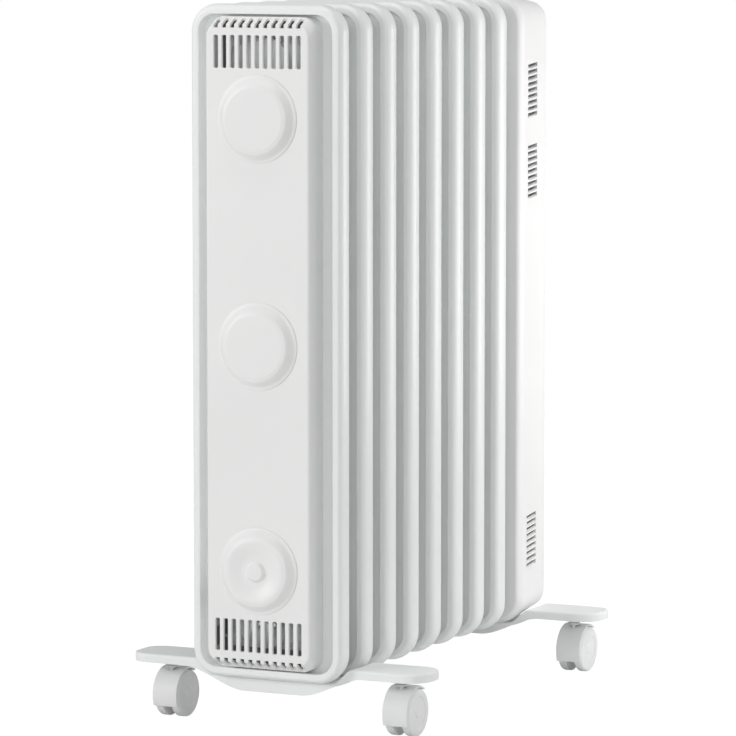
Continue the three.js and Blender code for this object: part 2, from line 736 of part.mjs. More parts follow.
// The hood covers the front and the top of both wheels, and its middle web carries the axle and stem.
function casterHood() {
  const arc = new THREE.Shape();
  const start = Math.PI + THREE.MathUtils.degToRad(24);
  const end = THREE.MathUtils.degToRad(58);
  arc.absarc(caster.trail, axle.height, caster.hood, start, end, true);
  arc.absarc(caster.trail, axle.height, caster.hood - 1.8, end, start, false);
  const shell = alongX(arc, -caster.width / 2, caster.width / 2, 4);
  const web = new THREE.Shape();
  web.absarc(caster.trail, axle.height, caster.hood - 1, start, end, true);
  web.lineTo(caster.trail + 6, axle.height - 5);
  web.lineTo(caster.trail - 6, axle.height - 5);
  const middle = alongX(web, -caster.web / 2, caster.web / 2, 4);
  const stemHole = turnedAboutZ(rod(caster.pin + gap, pinFoot, 60), 12, 0, 0);
  const axleHole = turnedAboutX(rod(axle.radius + gap, -20, 20), 12, caster.trail, axle.height);
  return cutBy(joined(shell, middle), stemHole, axleHole);
}

function casterStem() {
  const top = bracket.arm - bracket.sheet - gap;
  const collar = axle.height + caster.hood + gap;
  const profile = [
    [0, pinFoot + gap], [caster.pin, pinFoot + gap], [caster.pin, collar], [6, collar],
    [6, collar + 2.2], [caster.stem, collar + 2.2], [caster.stem, top], [0, top],
  ];
  return turnedAboutZ(profile, 12, 0, 0);
}

// One wheel, from its inner face outwards, with a rounded tread, a sunk ring and a small hub.
function casterWheel() {
  const inner = caster.web / 2 + gap;
  const outer = caster.width / 2;
  const bore = axle.radius + 0.3;
  const profile = [
    [bore, inner], [caster.wheel - 1, inner], [caster.wheel, inner + 1], [caster.wheel, outer - 2],
    [caster.wheel - 2, outer], [15, outer], [13.5, outer - 1], [0, outer - 1], [0, outer - 1.8],
    [bore, outer - 1.8], [bore, inner],
  ];
  return turned(profile, 18).rotateZ(-Math.PI / 2);
}

function addWheel(name, side, parent) {
  const wheel = piece(name, solid(casterWheel()), wheelPlastic, parent);
  wheel.position.set(0, caster.trail, axle.height);
  if (side < 0) wheel.rotation.z = Math.PI;
}

for (const [end, centre] of Object.entries(bracketCentres)) {
  for (const [side, sign] of [["left", -1], ["right", 1]]) {
    const unit = new THREE.Group();
    unit.position.set(sign * caster.reach, centre, 0);
    heater.add(unit);
    const name = `${end}_${side}_caster`;
    const pin = turnedAboutX(rod(axle.radius, -axle.length / 2, axle.length / 2), 12, caster.trail, axle.height);
    piece(`${name}_hood`, casterHood(), wheelPlastic, unit);
    piece(`${name}_stem`, casterStem(), plainSteel, unit);
    piece(`${name}_axle`, pin, plainSteel, unit);
    addWheel(`${name}_left_wheel`, -1, unit);
    addWheel(`${name}_right_wheel`, 1, unit);
  }
}

// ---- Origin ----------------------------------------------------------------------------------------

heater.position.y = -(knobFront + rearCover.back) / 2;

export default heater;
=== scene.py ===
"""An oil filled radiator heater: the looks, the light and the camera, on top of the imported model.

Lengths are in millimetres until a mesh is made. Depth runs from the front rim of the first fin towards
the rear, and to_frame() turns (x, depth, height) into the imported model's metres.
"""

import json
import math

import bmesh
import bpy
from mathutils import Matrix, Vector

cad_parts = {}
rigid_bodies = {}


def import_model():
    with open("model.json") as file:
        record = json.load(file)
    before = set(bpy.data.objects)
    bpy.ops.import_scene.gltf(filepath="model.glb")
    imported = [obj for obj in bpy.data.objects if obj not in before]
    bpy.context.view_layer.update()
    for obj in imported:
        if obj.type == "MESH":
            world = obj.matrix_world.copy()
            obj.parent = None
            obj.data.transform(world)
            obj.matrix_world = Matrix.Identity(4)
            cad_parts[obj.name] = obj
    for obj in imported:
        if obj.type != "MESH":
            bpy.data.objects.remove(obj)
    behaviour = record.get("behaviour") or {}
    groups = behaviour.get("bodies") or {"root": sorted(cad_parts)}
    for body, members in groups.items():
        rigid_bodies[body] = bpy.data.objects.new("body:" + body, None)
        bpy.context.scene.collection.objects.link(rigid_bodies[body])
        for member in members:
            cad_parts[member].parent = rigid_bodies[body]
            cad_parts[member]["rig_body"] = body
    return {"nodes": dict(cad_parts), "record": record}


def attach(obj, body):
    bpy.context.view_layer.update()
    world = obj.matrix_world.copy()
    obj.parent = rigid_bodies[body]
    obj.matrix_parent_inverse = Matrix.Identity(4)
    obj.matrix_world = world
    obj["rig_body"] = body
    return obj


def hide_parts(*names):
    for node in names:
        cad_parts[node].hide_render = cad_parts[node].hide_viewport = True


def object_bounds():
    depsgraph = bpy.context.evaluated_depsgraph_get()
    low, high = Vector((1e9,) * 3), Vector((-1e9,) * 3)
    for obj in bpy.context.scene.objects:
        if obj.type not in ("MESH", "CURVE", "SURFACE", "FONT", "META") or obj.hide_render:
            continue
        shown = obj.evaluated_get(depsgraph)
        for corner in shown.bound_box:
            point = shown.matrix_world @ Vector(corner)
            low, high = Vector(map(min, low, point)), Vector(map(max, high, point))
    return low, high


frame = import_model()
cad_low, cad_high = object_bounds()

MM = 0.001
KNOB_FRONT = -22.5
ORIGIN_DEPTH = KNOB_FRONT - cad_low.y / MM

# ---- Driving dimensions -----------------------------------------------------------------------------

GAP = 0.3

# A fin is a flat web whose edge comes forward to a flat rim and rolls over into a side.
FIN_COUNT = 8
FIN_PITCH = 48
FIN = {"width": 150, "bottom": 48, "top": 650, "corner": 25}
FIN_ROLL = 8
RIM = 9
SHEET = 0.8
WEB = 12
CHAMBER = {"width": 84, "bottom": 78, "top": 620, "corner": 20}
CHAMBER_RISE = 3.5
CHAMBER_SLOPE = 6
GALLERY = {"lower": 98, "upper": 600, "outer": 20}

END_WEB = FIN_COUNT * FIN_PITCH + WEB
END_FIN = {"width": 124, "bottom": 61, "top": 637, "corner": 10}
END_NECK_BACK = 440

HOUSING = {"width": 102, "bottom": 59, "top": 639, "corner": 12}
HOUSING_FRONT = -15
HOUSING_BACK = WEB - GAP
HOUSING_WALL = 2.5
BEVEL_HEIGHT = 7
BEVEL_DEPTH = 11
VENT_COUNT = 11
VENT_PITCH = 8.15
VENT_WIDTH = 4.2
VENT_LENGTH = 29
VENT_FROM_END = 16
BEVEL_SLOT_FROM_END = 9.5
BEVEL_SLOT_BACK = -5.5

KNOB_BASE = 39
KNOB_FACE = 29
KNOB_BACK = HOUSING_FRONT - GAP
KNOB_HEIGHTS = {"thermostat": 549.5, "power": 349, "timer": 148.5}
TIMER_DISH = {"depth": 3, "rim": 26, "floor_end": 13, "hub": 9.5, "hub_top": 7}

# The rear cover's outline is a fin's at the front, and is pulled in by the taper at the back.
REAR_FRONT = 384
REAR_BACK = 465
REAR_WALL = 2.2
REAR_LIP = 15
REAR_ROLL = 11
REAR_TAPER = 6.5
REAR_EDGE = 9
LOUVRE_CENTRES = (561, 483.5, 127.5)
LOUVRE_MIDDLE = 418
LOUVRE_COUNT = 9
LOUVRE_PITCH = 5.8
LOUVRE_HEIGHT = 4
LOUVRE_DEPTH = 28
LOUVRE_SLANT = 1.2
COVER_FOOT_REACH = 45
COVER_SCREW_HEIGHT = 200
COVER_SCREW_FLOOR = END_WEB + 8

# A foot bracket runs low under the fins and rises on both sides to an arm over each caster.
FOOT_DEPTHS = {"front": 38, "rear": 38 + FIN_COUNT * FIN_PITCH}
FOOT_MIDDLE_TOP = 47.7
FOOT_ARM_TOP = 61
FOOT_LENGTH = 148
FOOT_HALF_DEPTH = 25
FOOT_TIP = 20
FOOT_SHEET = 1.6
FOOT_ROUNDING = 2.5

U_BOLT_SPREAD = 22.5
U_BOLT_WIRE = 2
U_BOLT_FOOT = 31
U_BOLT_BEHIND = 7.5
U_BOLT_THREAD = 16
WING_NUT_TOP = 45.8

CASTER_REACH = 116
CASTER_TRAIL = 9.5
WHEEL_RADIUS = 21.5
HOOD_RADIUS = 24.3
HOOD_SHEET = 1.8
CASTER_WIDTH = 25
CASTER_WEB = 8
STEM_TOP = FOOT_ARM_TOP - FOOT_SHEET - GAP

CAMERA_AZIMUTH = 26
CAMERA_TILT = 5.93
CAMERA_LENS = 225.8
CAMERA_PLACE = (1865.4, -3617, 751.1)


# ---- Meshes -----------------------------------------------------------------------------------------

def to_frame(point):
    """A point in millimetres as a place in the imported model, in metres."""
    x, depth, height = point
    return (x * MM, (depth - ORIGIN_DEPTH) * MM, height * MM)


def make_mesh(name, vertices, faces):
    mesh = bpy.data.meshes.new(name)
    mesh.from_pydata([to_frame(point) for point in vertices], [], faces)
    work = bmesh.new()
    work.from_mesh(mesh)
    bmesh.ops.remove_doubles(work, verts=work.verts, dist=1e-7)
    bmesh.ops.recalc_face_normals(work, faces=work.faces)
    work.to_mesh(mesh)
    work.free()
    piece = bpy.data.objects.new(name, mesh)
    bpy.context.scene.collection.objects.link(piece)
    return piece


def skin(loops, closes_on_itself=False, first_cap=True, last_cap=True):
    """Vertices and faces of a skin over loops of equal length, in order."""
    around = len(loops[0])
    vertices = [point for loop in loops for point in loop]
    faces = []
    bands = len(loops) if closes_on_itself else len(loops) - 1
    for band in range(bands):
        following = (band + 1) % len(loops)
        for step in range(around):
            other = (step + 1) % around
            here, there = band * around, following * around
            faces.append((here + step, here + other, there + other, there + step))
    if not closes_on_itself:
        last = (len(loops) - 1) * around
        if first_cap:
            faces.append(tuple(range(around)))
        if last_cap:
            faces.append(tuple(range(last, last + around)))
    return vertices, faces


def merged(*parts):
    """Several (vertices, faces) pairs as one."""
    vertices, faces = [], []
    for part_vertices, part_faces in parts:
        start = len(vertices)
        vertices += part_vertices
        faces += [tuple(start + index for index in face) for face in part_faces]
    return vertices, faces


def rounded_loop(outline, inset, depth, steps=8, lower=0):
    """A rectangle with rounded corners at one depth, pulled in by inset, and by lower more at both ends."""
    side = outline["width"] / 2 - outline["corner"]
    middle = (outline["bottom"] + outline["top"]) / 2
    reach = (outline["top"] - outline["bottom"]) / 2 - outline["corner"] - lower
    radius = max(outline["corner"] - inset, 0.01)
    loop = []
    for quarter, (sign_x, sign_z) in enumerate([(1, 1), (-1, 1), (-1, -1), (1, -1)]):
        for step in range(steps + 1):
            angle = (quarter + step / steps) * math.pi / 2
            x = sign_x * side + radius * math.cos(angle)
            height = middle + sign_z * reach + radius * math.sin(angle)
            loop.append((x, depth, height))
    return loop


def ease(value, start, end):
    """0 before start, 1 after end, and an S curve between them."""
    part = min(max((value - start) / (end - start), 0), 1)
    return part * part * (3 - 2 * part)


def blend(start, end, part):
    return start + (end - start) * part


def oval(centre, radii, start, end, steps):
    """Points on part of an upright or lying oval, with the angles in degrees."""
    points = []
    for step in range(steps + 1):
        angle = math.radians(blend(start, end, step / steps))
        points.append((centre[0] + radii[0] * math.cos(angle), centre[1] + radii[1] * math.sin(angle)))
    return points


def arc(centre, radius, start, end, steps):
    return oval(centre, (radius, radius), start, end, steps)


def turned(profile, sides, place, is_ring=False):
    """A profile of (radius, along) points turned about an axis. place(a, b, along) puts each point.

    The profile of a ring is a closed line that stays clear of the axis.
    """
    loops = []
    for radius, along in profile:
        loop = []
        for side in range(sides):
            angle = side / sides * 2 * math.pi
            reach = max(radius, 1e-3)
            loop.append(place(reach * math.cos(angle), reach * math.sin(angle), along))
        loops.append(loop)
    return skin(loops, closes_on_itself=is_ring)


def turned_about_depth(profile, sides, x, height, is_ring=False):
    def place(a, b, along):
        return (x + a, along, height + b)
    return turned(profile, sides, place, is_ring)


def turned_about_side(profile, sides, x, depth, height, sign=1, is_ring=False):
    """The profile's second value runs outwards from x, towards +X when sign is 1."""
    def place(a, b, along):
        return (x + sign * along, depth + a, height + b)
    return turned(profile, sides, place, is_ring)


def turned_about_height(profile, sides, x, depth, is_ring=False):
    def place(a, b, along):
        return (x + a, depth + b, along)
    return turned(profile, sides, place, is_ring)


def block(x, depth, height):
    """A box from three (low, high) pairs."""
    loops = []
    for along in depth:
        loops.append([(x[0], along, height[0]), (x[1], along, height[0]), (x[1], along, height[1]),
                      (x[0], along, height[1])])
    return skin(loops)


def carve(piece, vertices, faces):
    """Cuts a closed mesh out of a piece."""
    cutter = make_mesh("cutter", vertices, faces)
    modifier = piece.modifiers.new("cut", "BOOLEAN")
    modifier.operation = "DIFFERENCE"
    modifier.solver = "EXACT"
    modifier.object = cutter
    graph = bpy.context.evaluated_depsgraph_get()
    carved = bpy.data.meshes.new_from_object(piece.evaluated_get(graph))
    piece.modifiers.clear()
    piece.data = carved
    bpy.data.objects.remove(cutter)


def add_mesh(piece, vertices, faces):
    """Adds loose closed parts to a piece, without cutting them together."""
    extra = make_mesh("extra", vertices, faces)
    whole = bmesh.new()
    whole.from_mesh(piece.data)
    whole.from_mesh(extra.data)
    whole.to_mesh(piece.data)
    whole.free()
    bpy.data.objects.remove(extra)


def shade(piece, sharp_angle=35):
    """Smooth shading that keeps flat faces flat and edges over the angle sharp."""
    piece.data.shade_smooth()
    piece.data.set_sharp_from_angle(angle=math.radians(sharp_angle))
    weighted = piece.modifiers.new("flat_faces", "WEIGHTED_NORMAL")
    weighted.keep_sharp = True


# ---- Materials --------------------------------------------------------------------------------------

def surface(name, colour, roughness, metallic=0.0, grain=900, bump=0.06, mottle=0.03, mottle_size=9,
            roughness_change=0.08, coat=0.0):
    """A material with a fine bump, a broad change of colour and a change of roughness."""
    made = bpy.data.materials.new(name)
    made.use_nodes = True
    nodes = made.node_tree.nodes
    links = made.node_tree.links
    shader = nodes["Principled BSDF"]
    shader.inputs["Metallic"].default_value = metallic
    shader.inputs["Coat Weight"].default_value = coat
    shader.inputs["Coat Roughness"].default_value = 0.2
    place = nodes.new("ShaderNodeTexCoord")

    broad = nodes.new("ShaderNodeTexNoise")
    broad.inputs["Scale"].default_value = mottle_size
    broad.inputs["Detail"].default_value = 4
    links.new(place.outputs["Object"], broad.inputs["Vector"])
    tint = nodes.new("ShaderNodeMix")
    tint.data_type = "RGBA"
    tint.inputs["A"].default_value = (*[channel * (1 - mottle) for channel in colour], 1)
    tint.inputs["B"].default_value = (*[min(channel * (1 + mottle), 1) for channel in colour], 1)
    links.new(broad.outputs["Fac"], tint.inputs["Factor"])
    links.new(tint.outputs["Result"], shader.inputs["Base Color"])

    fine = nodes.new("ShaderNodeTexNoise")
    fine.inputs["Scale"].default_value = grain
    fine.inputs["Detail"].default_value = 3
    links.new(place.outputs["Object"], fine.inputs["Vector"])
    gloss = nodes.new("ShaderNodeMapRange")
    gloss.inputs["To Min"].default_value = max(roughness - roughness_change, 0.02)
    gloss.inputs["To Max"].default_value = roughness + roughness_change
    links.new(fine.outputs["Fac"], gloss.inputs["Value"])
    links.new(gloss.outputs["Result"], shader.inputs["Roughness"])
    relief = nodes.new("ShaderNodeBump")
    relief.inputs["Strength"].default_value = bump
    relief.inputs["Distance"].default_value = 0.0004
    links.new(fine.outputs["Fac"], relief.inputs["Height"])
    links.new(relief.outputs["Normal"], shader.inputs["Normal"])
    return made


def fin_enamel():
    return surface("fin_enamel", (0.91, 0.93, 0.925), 0.38, grain=260, bump=0.05, coat=0.15)


def bracket_powder_coat():
    return surface("bracket_powder_coat", (0.9, 0.91, 0.91), 0.5, grain=700, bump=0.1)


def cover_plastic():
    return surface("cover_plastic", (0.9, 0.905, 0.895), 0.45, grain=1600, bump=0.08)


def knob_plastic():
    return surface("knob_plastic", (0.9, 0.905, 0.895), 0.42, grain=1800, bump=0.05)


def wheel_nylon():
    return surface("wheel_nylon", (0.86, 0.87, 0.86), 0.5, grain=1200, bump=0.08)


def zinc_steel():
    return surface("zinc_steel", (0.62, 0.63, 0.65), 0.32, metallic=1.0, grain=500, bump=0.08, mottle=0.1,
                   mottle_size=60)


def shield_steel_painted_shade():
    """The dull zinc of the heat shield, with painted shade: it is coloured much darker than bare steel to
    stand for the shade it sits in.
    """
    return surface("shield_steel_painted_shade", (0.2, 0.205, 0.21), 0.6, metallic=0.4, grain=500, bump=0.1, mottle=0.15,
                   mottle_size=40)


def dark_plastic():
    return surface("dark_plastic", (0.02, 0.02, 0.022), 0.5, grain=1500, bump=0.1)


def seal_rubber():
    return surface("seal_rubber", (0.015, 0.015, 0.015), 0.75, grain=1200, bump=0.15)


def wire_sleeving():
    return surface("wire_sleeving", (0.03, 0.025, 0.025), 0.6, grain=2500, bump=0.3)


def turned_brass():
    return surface("turned_brass", (0.6, 0.43, 0.18), 0.3, metallic=1.0, grain=800, bump=0.05, mottle=0.08)


MATERIALS = {
    "fin_paint": fin_enamel(),
    "bracket_paint": bracket_powder_coat(),
    "cover_plastic": cover_plastic(),
    "knob_plastic": knob_plastic(),
    "wheel_plastic": wheel_nylon(),
    "bare_steel": zinc_steel(),
    "dark_plastic": dark_plastic(),
    "seal_rubber": seal_rubber(),
    "wire_insulation": wire_sleeving(),
    "brass": turned_brass(),
}
SLOTS = {row["node"]: row["material_slot"] for row in frame["record"]["subparts"]}


def paint(piece, slot):
    piece.data.materials.clear()
    piece.data.materials.append(MATERIALS[slot])


def stand_for(piece, node):
    """The piece takes the place of one CAD node: its body, its slot and its material."""
    slot = SLOTS[node]
    paint(piece, slot)
    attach(piece, frame["nodes"][node]["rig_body"])
    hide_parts(node)


for node_name, node in frame["nodes"].items():
    for place in node.material_slots:
        place.material = MATERIALS[SLOTS[node_name]]
# The heat shield gets the darkened steel, which is painted shade rather than its own colour.
frame["nodes"]["heat_shield"].material_slots[0].material = shield_steel_painted_shade()


# ---- Fins -------------------------------------------------------------------------------------------

def rolled_front(reach):
    """(inset, depth) points where a flat rim rolls over into a side, as far back as reach."""
    return oval((4.6, reach), (4.6, reach), -90, -180, 9)


def fin_section():
    """The outside of a fin's sheet as (inset, depth) points, from the web over the rim to the back edge."""
    points = [(RIM, WEB), (RIM, 1.2)]
    points += arc((RIM - 1, 1), 1, 0, -90, 3)
    points += rolled_front(FIN_ROLL)
    points += oval((5.2, FIN_ROLL), (5.2, 15), 180, 120, 9)[1:]
    return points


def sheet_inside(points, thickness):
    """The same line on the other face of the sheet, in reverse order, ending at the web's back."""
    inside = []
    for index, (inset, depth) in enumerate(points):
        before = points[max(index - 1, 0)]
        after = points[min(index + 1, len(points) - 1)]
        run = (after[0] - before[0], after[1] - before[1])
        length = math.hypot(*run) or 1
        inside.append((inset + run[1] / length * thickness, depth - run[0] / length * thickness))
    inside[0] = (RIM - thickness, WEB + thickness)
    return inside[::-1]


def chamber_side(depth, sign):
    """One side of the raised oil chamber on a web at this depth."""
    loops = []
    for step in range(6):
        part = step / 5
        rise = CHAMBER_RISE * ease(part, 0, 1)
        loops.append(rounded_loop(CHAMBER, CHAMBER_SLOPE * part, depth + sign * rise, 6))
    return skin(loops, first_cap=False)


def neck(front, back, height):
    return turned_about_depth([(GALLERY["outer"], front), (GALLERY["outer"], back)], 32, 0, height)


def make_fin(number):
    start = (number - 1) * FIN_PITCH
    outer = fin_section()
    inner = sheet_inside(outer, SHEET)
    loops = [rounded_loop(FIN, inset, start + depth, 10) for inset, depth in outer + inner]
    parts = [skin(loops), chamber_side(start + WEB, -1), chamber_side(start + WEB + SHEET, 1)]
    neck_front = start + (5 if number == 1 else WEB - FIN_PITCH / 2)
    for height in (GALLERY["lower"], GALLERY["upper"]):
        parts.append(neck(neck_front, start + WEB + FIN_PITCH / 2, height))
    piece = make_mesh(f"fin_{number}_sheet", *merged(*parts))
    shade(piece)
    stand_for(piece, f"fin_{number}")


for number in range(1, FIN_COUNT + 1):
    make_fin(number)


def make_end_fin():
    """The last element: a flat plate with the same oil chamber and necks."""
    edge = ((0.3, 0), (0, 0.2), (0, SHEET - 0.2), (0.3, SHEET))
    plate = [rounded_loop(END_FIN, inset, END_WEB + depth, 8) for inset, depth in edge]
    parts = [skin(plate), chamber_side(END_WEB, -1), chamber_side(END_WEB + SHEET, 1)]
    for height in (GALLERY["lower"], GALLERY["upper"]):
        parts.append(neck(END_WEB - FIN_PITCH / 2, END_NECK_BACK, height))
    piece = make_mesh("end_fin_plate", *merged(*parts))
    shade(piece)
    stand_for(piece, "end_fin")


make_end_fin()


# ---- Control housing --------------------------------------------------------------------------------

def housing_loops(wall, back):
    """Loops of the housing's outside, or of its inside at wall, from the back to the front face."""
    front = HOUSING_FRONT + wall
    edge = 2.2 if wall == 0 else 0.5
    bevel_back = HOUSING_FRONT + BEVEL_DEPTH
    loops = [rounded_loop(HOUSING, wall, back, 8)]
    loops.append(rounded_loop(HOUSING, wall, bevel_back + 0.8, 8))
    loops.append(rounded_loop(HOUSING, wall, bevel_back, 8, lower=0.1))
    slope = BEVEL_HEIGHT / BEVEL_DEPTH
    for step in range(1, 6):
        depth = blend(bevel_back, front + edge, step / 5)
        loops.append(rounded_loop(HOUSING, wall, depth, 8, lower=slope * (bevel_back - depth)))
    for step in range(1, 7):
        angle = step / 6 * math.pi / 2
        inset = wall + edge * (1 - math.cos(angle))
        depth = front + edge - edge * math.sin(angle)
        loops.append(rounded_loop(HOUSING, inset, depth, 8, lower=slope * (bevel_back - front - edge)))
    return loops


def slot_cutter(x, low, high):
    """A slot through the front wall, flared at its mouth so that its edge is eased."""
    shape = {"width": VENT_WIDTH, "bottom": low, "top": high, "corner": 1.2}
    loops = [
        rounded_loop(shape, -0.5, HOUSING_FRONT - 1, 3),
        rounded_loop(shape, -0.5, HOUSING_FRONT - 0.01, 3),
        rounded_loop(shape, 0, HOUSING_FRONT + 0.5, 3),
        rounded_loop(shape, 0, HOUSING_FRONT + HOUSING_WALL + 1, 3),
    ]
    return skin([[(x + a, depth, height) for a, depth, height in loop] for loop in loops])


def housing_slots():
    parts = []
    along = (HOUSING_FRONT - 1, BEVEL_SLOT_BACK)
    for number in range(VENT_COUNT):
        x = (number - (VENT_COUNT - 1) / 2) * VENT_PITCH
        top = HOUSING["top"] - VENT_FROM_END
        bottom = HOUSING["bottom"] + VENT_FROM_END
        across = (x - VENT_WIDTH / 2, x + VENT_WIDTH / 2)
        parts.append(slot_cutter(x, top - VENT_LENGTH, top))
        parts.append(slot_cutter(x, bottom, bottom + VENT_LENGTH))
        parts.append(block(across, along, (HOUSING["top"] - BEVEL_SLOT_FROM_END, HOUSING["top"] + 1)))
        parts.append(block(across, along, (HOUSING["bottom"] - 1, HOUSING["bottom"] + BEVEL_SLOT_FROM_END)))
    return merged(*parts)


def make_housing():
    piece = make_mesh("control_housing_cover", *skin(housing_loops(0, HOUSING_BACK)))
    carve(piece, *skin(housing_loops(HOUSING_WALL, HOUSING_BACK + 5)))
    carve(piece, *housing_slots())
    holes = [turned_about_depth([(4, HOUSING_FRONT - 1), (4, 0)], 24, 0, height)
             for height in KNOB_HEIGHTS.values()]
    carve(piece, *merged(*holes))
    shade(piece)
    stand_for(piece, "control_housing")


make_housing()


# ---- Knobs ------------------------------------------------------------------------------------------

def knob_profile():
    """(radius, depth) points from the middle of a knob's face, down its S-shaped side, to its back."""
    side_top = KNOB_FRONT + 0.4
    side_fall = KNOB_BACK - 0.5 - side_top
    points = [(0, KNOB_FRONT), (KNOB_FACE - 1.6, KNOB_FRONT)]
    points += [(KNOB_FACE - 0.9, KNOB_FRONT + 0.06), (KNOB_FACE - 0.3, KNOB_FRONT + 0.22)]
    for step in range(15):
        part = step / 14
        fall = part ** 3 * (part * (6 * part - 15) + 10)
        points.append((blend(KNOB_FACE, KNOB_BASE - 0.5, part), side_top + side_fall * fall))
    points += [(KNOB_BASE, KNOB_BACK - 0.2), (KNOB_BASE, KNOB_BACK), (0, KNOB_BACK)]
    return points


def timer_dish():
    """The ring cut out of the timer knob's face, round a raised hub."""
    floor = KNOB_FRONT + TIMER_DISH["depth"]
    outer = [(TIMER_DISH["hub_top"], KNOB_FRONT - 1), (TIMER_DISH["rim"], KNOB_FRONT - 1)]
    inner = []
    for step in range(9):
        part = step / 8
        fall = blend(part, ease(part, 0, 1), 0.3) * TIMER_DISH["depth"]
        inner.append((blend(TIMER_DISH["rim"], TIMER_DISH["floor_end"], part), KNOB_FRONT + fall))
    for step in range(7):
        part = step / 6
        rise = ease(part, 0, 1) * TIMER_DISH["depth"]
        inner.append((blend(TIMER_DISH["hub"] + 0.4, TIMER_DISH["hub_top"], part), floor - rise))
    return outer + inner


def make_knob(control):
    height = KNOB_HEIGHTS[control]
    piece = make_mesh(f"{control}_dial", *turned_about_depth(knob_profile(), 96, 0, height))
    if control == "timer":
        carve(piece, *turned_about_depth(timer_dish(), 96, 0, height, is_ring=True))
    shade(piece)
    stand_for(piece, f"{control}_knob")


for control in KNOB_HEIGHTS:
    make_knob(control)


# ---- Rear cover -------------------------------------------------------------------------------------

def rear_cover_loops(wall):
    """Loops of the cover's outside, or of its inside at wall, from the front edge to the back."""
    front = REAR_FRONT + wall
    back = REAR_BACK - wall
    loops = [rounded_loop(FIN, inset + wall, front + depth, 10) for inset, depth in rolled_front(REAR_ROLL)]
    for step in range(9):
        angle = step / 8 * math.pi / 2
        inset = REAR_TAPER + wall + REAR_EDGE * (1 - math.cos(angle))
        loops.append(rounded_loop(FIN, inset, back - REAR_EDGE * (1 - math.sin(angle)), 10))
    return loops


def louvre_cutter(sign, height):
    """A slot through one side wall, its floor rising inwards."""
    outside = FIN["width"] / 2 + 1
    inside = FIN["width"] / 2 - REAR_TAPER - REAR_WALL - 1
    rise = LOUVRE_SLANT * (outside - inside) / REAR_WALL
    low = height - rise / 2 - LOUVRE_HEIGHT / 2
    high = low + LOUVRE_HEIGHT
    loops = []
    for depth in (LOUVRE_MIDDLE - LOUVRE_DEPTH / 2, LOUVRE_MIDDLE + LOUVRE_DEPTH / 2):
        loops.append([(sign * outside, depth, low), (sign * inside, depth, low + rise),
                      (sign * inside, depth, high + rise), (sign * outside, depth, high)])
    return skin(loops)


def louvre_slots():
    parts = []
    for centre in LOUVRE_CENTRES:
        for number in range(LOUVRE_COUNT):
            height = centre + (number - (LOUVRE_COUNT - 1) / 2) * LOUVRE_PITCH
            parts += [louvre_cutter(sign, height) for sign in (-1, 1)]
    return merged(*parts)


def screw_post():
    """The tube inside the cover that the screw's head sits in."""
    floor = COVER_SCREW_FLOOR
    profile = [(6, floor - 2), (6, REAR_BACK - 1), (4.6, REAR_BACK - 1)]
    profile += [(4.6, floor), (2, floor), (2, floor - 2)]
    return turned_about_depth(profile, 32, 0, COVER_SCREW_HEIGHT, is_ring=True)


def make_rear_cover():
    bolt = FOOT_DEPTHS["rear"] + U_BOLT_BEHIND
    piece = make_mesh("rear_cover_shell", *skin(rear_cover_loops(0)))
    carve(piece, *skin(rear_cover_loops(REAR_WALL)))
    mouth = [rounded_loop(FIN, REAR_LIP, depth, 10) for depth in (REAR_FRONT - 1, REAR_FRONT + 4)]
    carve(piece, *skin(mouth))
    carve(piece, *louvre_slots())
    recess = [(4.6, REAR_BACK - 6), (4.6, REAR_BACK + 1)]
    carve(piece, *turned_about_depth(recess, 32, 0, COVER_SCREW_HEIGHT))
    carve(piece, *block((-30, 30), (bolt - 8, bolt + 8), (FIN["bottom"] - 1, FIN["bottom"] + 14)))
    foot_height = (FIN["bottom"], FIN["bottom"] + REAR_TAPER + 1)
    feet = [block((x - 6, x + 6), (bolt - 18, bolt + 12), foot_height)
            for x in (-COVER_FOOT_REACH, COVER_FOOT_REACH)]
    add_mesh(piece, *merged(screw_post(), *feet))
    shade(piece)
    stand_for(piece, "rear_cover")


make_rear_cover()


# ---- Foot brackets ----------------------------------------------------------------------------------

def foot_top(x):
    return blend(FOOT_MIDDLE_TOP, FOOT_ARM_TOP, ease(abs(x), 58, 79))


def foot_skirt(x):
    """The height of the bracket's lower edge."""
    return blend(34.5, 53, ease(abs(x), 28, 90))


def foot_half_depth(x):
    """Half the bracket's depth, which rounds off at its tips."""
    past = max(0, abs(x) - (FOOT_LENGTH - FOOT_TIP))
    return FOOT_HALF_DEPTH - FOOT_TIP + math.sqrt(max(FOOT_TIP**2 - past**2, 0))


def foot_stations(tip):
    """Places along the bracket, closer together round its tips."""
    stations = [step * 2 for step in range(1, int((FOOT_LENGTH - FOOT_TIP) / 2) + 1)]
    for step in range(1, 15):
        stations.append(FOOT_LENGTH - FOOT_TIP + FOOT_TIP * math.sin(step / 14 * math.pi / 2))
    right = [x for x in stations if x < tip - 0.05] + [tip]
    return [-x for x in right[::-1]] + [0] + right


def foot_loops(wall, below, rounding):
    """The bracket's outside, or its inside at wall, which runs on below the lower edge."""
    tip = FOOT_LENGTH - wall
    loops = []
    for x in foot_stations(tip):
        side = max(foot_half_depth(min(abs(x) + wall, FOOT_LENGTH - 0.01)) - wall * 0.6, 1)
        low = foot_skirt(x) - below
        past = max(0, rounding - (tip - abs(x)))
        high = foot_top(x) - wall - (rounding - math.sqrt(max(rounding**2 - past**2, 0)))
        loop = [(x, -side, low), (x, -side, high - rounding)]
        loop += [(x, a, b) for a, b in arc((-side + rounding, high - rounding), rounding, 180, 90, 5)[1:]]
        loop += [(x, a, b) for a, b in arc((side - rounding, high - rounding), rounding, 90, 0, 5)]
        loop += [(x, side, low)]
        loops.append(loop)
    return loops


def moved(loops, depth):
    return [[(x, a + depth, height) for x, a, height in loop] for loop in loops]


